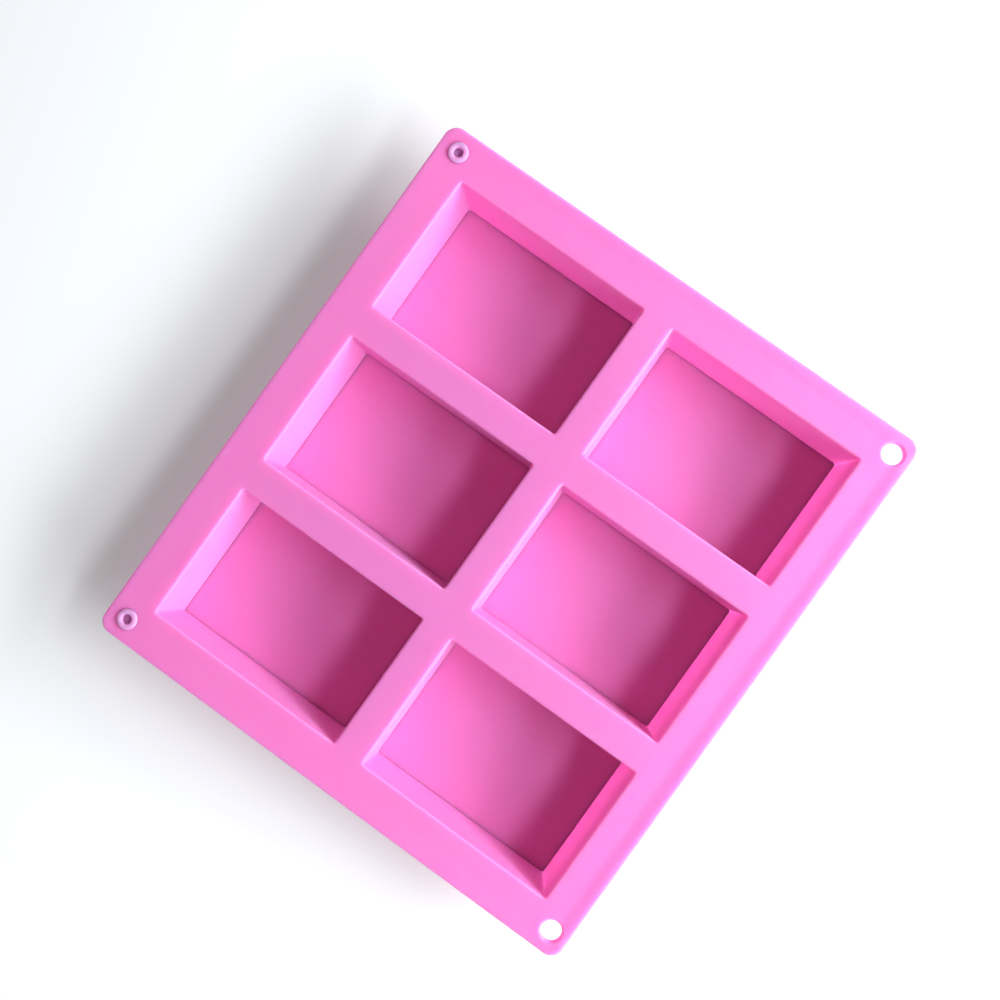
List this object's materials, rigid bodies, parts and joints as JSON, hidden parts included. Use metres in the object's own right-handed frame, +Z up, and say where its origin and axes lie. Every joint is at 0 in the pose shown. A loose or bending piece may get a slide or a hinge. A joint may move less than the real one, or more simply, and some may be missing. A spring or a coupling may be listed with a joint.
{
  "type": "silicone soap mould",
  "caption": "Flat flexible tray of drafted rectangular cavities that folds along its middle, with low hollow corner pegs and corner holes.",
  "frame": {"origin": "middle of the footprint, on the surface that the mould stands on", "axes": "+X along the length of the cavities, from the peg side to the hole side; +Y towards the rear row; +Z up, out of the cavities' mouths; the fold line is the Y axis"},
  "size_m": [0.203, 0.2222, 0.0279],
  "materials": {
    "deck_silicone": "satin pink silicone",
    "cup_silicone": "satin pink silicone",
    "peg_silicone": "satin pink silicone"
  },
  "bodies": {
    "left_half": {"deck_left": "deck_silicone", "peg_rear": "peg_silicone", "peg_front": "peg_silicone", "cup_wall_left_rear": "cup_silicone", "cup_wall_left_middle": "cup_silicone", "cup_wall_left_front": "cup_silicone"},
    "right_half": {"deck_right": "deck_silicone", "cup_wall_right_rear": "cup_silicone", "cup_wall_right_middle": "cup_silicone", "cup_wall_right_front": "cup_silicone"},
    "floor_left_rear": {"cup_floor_left_rear": "cup_silicone"},
    "floor_left_middle": {"cup_floor_left_middle": "cup_silicone"},
    "floor_left_front": {"cup_floor_left_front": "cup_silicone"},
    "floor_right_rear": {"cup_floor_right_rear": "cup_silicone"},
    "floor_right_middle": {"cup_floor_right_middle": "cup_silicone"},
    "floor_right_front": {"cup_floor_right_front": "cup_silicone"}
  },
  "joints": [
    {"name": "centre_fold", "type": "hinge", "parent": "left_half", "child": "right_half", "pos_m": [0, 0, 0.0275], "axis": [0, -1, 0], "range_deg": [-20, 179.5], "stiffness_Nm_per_rad": 0.08},
    {"name": "press_left_rear", "type": "slide", "parent": "left_half", "child": "floor_left_rear", "axis": [0, 0, 1], "range_m": [0, 0.01], "stiffness_N_per_m": 600},
    {"name": "press_left_middle", "type": "slide", "parent": "left_half", "child": "floor_left_middle", "axis": [0, 0, 1], "range_m": [0, 0.01], "stiffness_N_per_m": 600},
    {"name": "press_left_front", "type": "slide", "parent": "left_half", "child": "floor_left_front", "axis": [0, 0, 1], "range_m": [0, 0.01], "stiffness_N_per_m": 600},
    {"name": "press_right_rear", "type": "slide", "parent": "right_half", "child": "floor_right_rear", "axis": [0, 0, 1], "range_m": [0, 0.01], "stiffness_N_per_m": 600},
    {"name": "press_right_middle", "type": "slide", "parent": "right_half", "child": "floor_right_middle", "axis": [0, 0, 1], "range_m": [0, 0.01], "stiffness_N_per_m": 600},
    {"name": "press_right_front", "type": "slide", "parent": "right_half", "child": "floor_right_front", "axis": [0, 0, 1], "range_m": [0, 0.01], "stiffness_N_per_m": 600}
  ]
}
